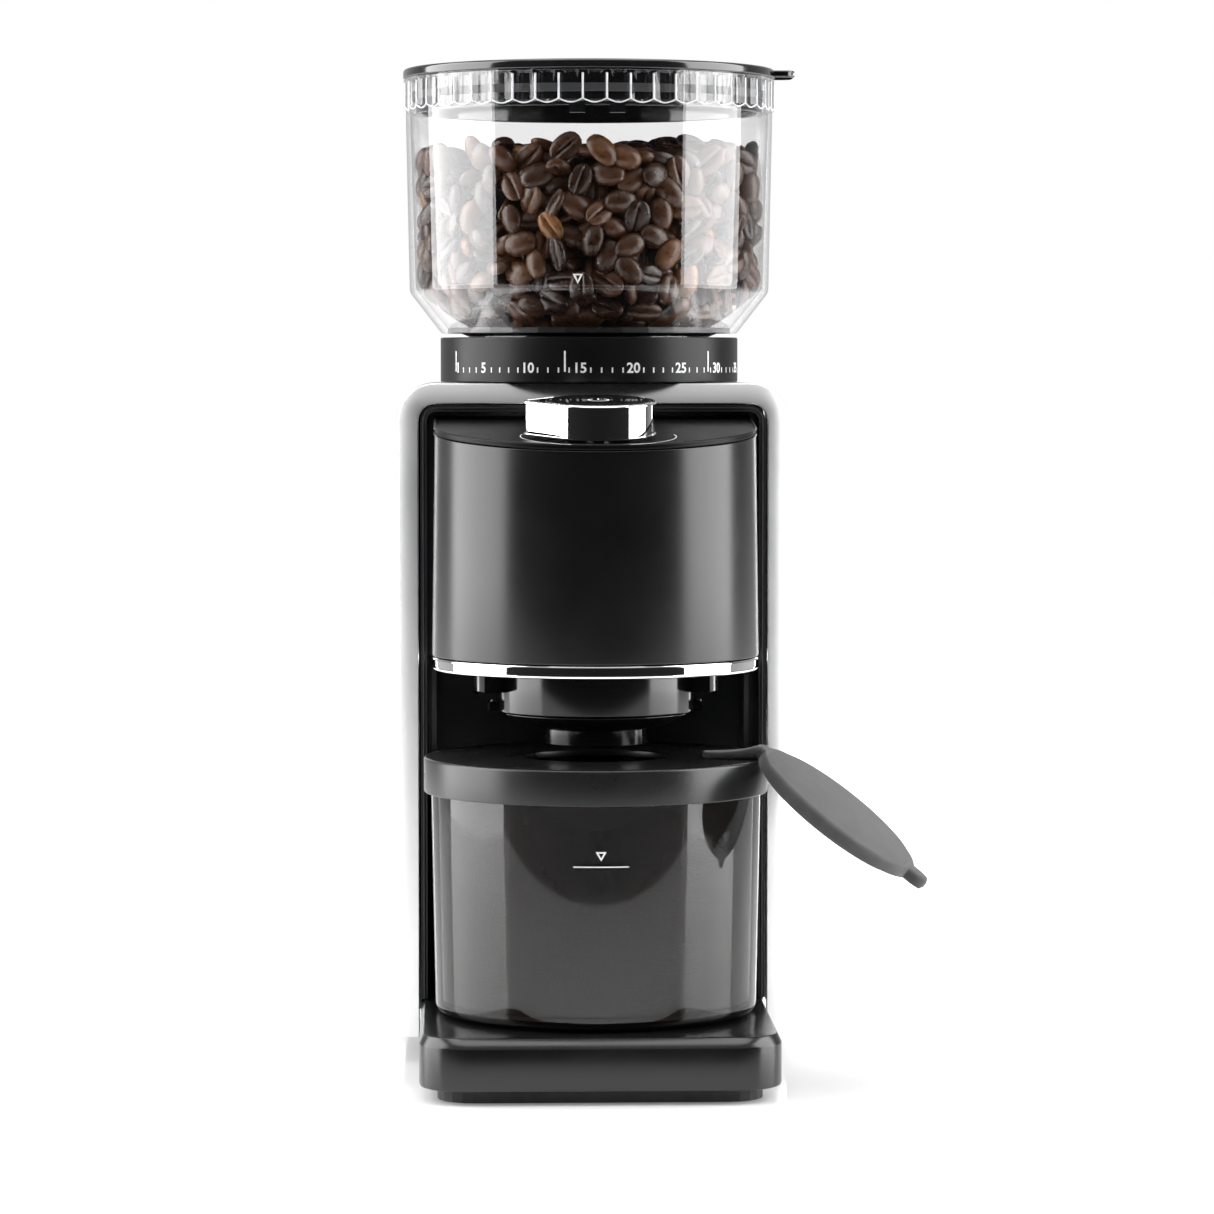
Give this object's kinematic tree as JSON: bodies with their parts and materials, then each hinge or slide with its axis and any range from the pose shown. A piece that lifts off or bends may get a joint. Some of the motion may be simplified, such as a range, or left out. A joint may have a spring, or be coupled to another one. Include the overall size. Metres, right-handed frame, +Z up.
{
  "type": "burr coffee grinder",
  "caption": "Upright burr coffee grinder: steel-wrapped body, clear bean hopper with scale collar, front head with timer knob, portafilter cradle and lidded grounds jar.",
  "frame": {"origin": "middle of the rubber sole's underside, on the surface it stands on", "axes": "+X to the right seen from the front, +Y to the back, +Z up; the front faces -Y"},
  "size_m": [0.1785, 0.2048, 0.3467],
  "materials": {
    "polished_steel": "mirror polished stainless steel",
    "chrome": "polished chrome plating",
    "satin_black": "satin black moulded plastic",
    "matt_black": "matt black plastic",
    "gloss_black": "gloss black plastic",
    "clear_plastic": "clear moulded plastic",
    "smoked_plastic": "smoke-tinted clear plastic",
    "rubber": "matt dark grey rubber",
    "burr_steel": "machined hardened steel",
    "white_nylon": "natural nylon",
    "bronze": "sintered bronze and copper",
    "board_green": "green circuit board"
  },
  "bodies": {
    "root": {"base_tray": "satin_black", "base_plate": "satin_black", "rubber_sole": "rubber", "base_screw_1": "burr_steel", "base_screw_2": "burr_steel", "base_screw_3": "burr_steel", "base_screw_4": "burr_steel", "steel_shell": "polished_steel", "niche_liner": "matt_black", "rear_cover": "satin_black", "rear_screw_1": "burr_steel", "rear_screw_2": "burr_steel", "rear_screw_3": "burr_steel", "rear_screw_4": "burr_steel", "rear_frame_bar": "matt_black", "cord_gland": "rubber", "scale_collar": "gloss_black", "head_shell": "satin_black", "head_cap": "satin_black", "head_trim_ring": "chrome", "head_floor": "matt_black", "portafilter_cradle": "satin_black", "spout": "satin_black", "chute": "satin_black", "grind_chamber": "matt_black", "upper_bearing": "bronze", "lower_bearing": "bronze", "gearbox_case": "white_nylon", "gearbox_cover": "white_nylon", "motor_can": "burr_steel", "motor_end_cap": "matt_black", "motor_spacer": "rubber", "motor_stand": "matt_black", "control_board": "board_green", "timer_switch": "matt_black", "power_board": "board_green", "hopper_switch": "matt_black"},
    "adjuster": {"adjusting_ring": "satin_black"},
    "hopper": {"hopper": "clear_plastic", "hopper_floor": "satin_black"},
    "lid": {"hopper_lid": "gloss_black", "lid_seal": "rubber"},
    "burr_lift": {"burr_carrier": "matt_black", "ring_burr": "burr_steel"},
    "burr_drive": {"burr_shaft": "burr_steel", "drive_gear": "white_nylon", "cone_burr": "burr_steel", "sweeper": "white_nylon", "burr_nut": "burr_steel"},
    "rotor": {"motor_shaft": "burr_steel", "armature": "bronze", "motor_pinion": "burr_steel"},
    "knob": {"timer_knob": "chrome"},
    "button": {"start_button": "gloss_black"},
    "jar": {"grounds_jar": "smoked_plastic", "jar_lid": "satin_black", "jar_seal": "rubber", "flap_strap": "rubber"},
    "flap": {"fill_flap": "rubber"}
  },
  "joints": [
    {"name": "grind_setting", "type": "hinge", "parent": "root", "child": "adjuster", "pos_m": [0, 0.041, 0.245], "axis": [0, 0, 1], "range_deg": [-56.8, 81.2]},
    {"name": "hopper_lift", "type": "slide", "parent": "adjuster", "child": "hopper", "axis": [0, 0, 1], "range_m": [0, 0.07]},
    {"name": "lid_lift", "type": "slide", "parent": "hopper", "child": "lid", "axis": [0, 0, 1], "range_m": [0, 0.05]},
    {"name": "burr_lift", "type": "slide", "parent": "root", "child": "burr_lift", "axis": [0, 0, 1], "range_m": [-0.0006, 0.0009]},
    {"name": "burr_spin", "type": "hinge", "parent": "root", "child": "burr_drive", "pos_m": [0, 0.041, 0.2], "axis": [0, 0, 1], "continuous": true},
    {"name": "motor_spin", "type": "hinge", "parent": "root", "child": "rotor", "pos_m": [0, 0.065, 0.12], "axis": [0, 0, 1], "continuous": true},
    {"name": "knob_turn", "type": "hinge", "parent": "root", "child": "knob", "pos_m": [0, -0.06, 0.21865], "axis": [0, -0.0958, 0.9954], "range_deg": [0, 180]},
    {"name": "button_press", "type": "slide", "parent": "root", "child": "button", "axis": [0, 0.0958, -0.9954], "range_m": [0, 0.0012], "stiffness_N_per_m": 800},
    {"name": "jar_pull", "type": "slide", "parent": "root", "child": "jar", "axis": [0, -1, 0], "range_m": [0, 0.13]},
    {"name": "flap_hinge", "type": "hinge", "parent": "jar", "child": "flap", "pos_m": [0.05527, -0.04785, 0.1123], "axis": [-0.2756, -0.9613, 0], "range_deg": [0, 100]}
  ],
  "couplings": [
    {"joint": "motor_spin", "follows": "burr_spin", "ratio": -3},
    {"joint": "burr_lift", "follows": "grind_setting", "m_per_rad": 0.0006}
  ]
}
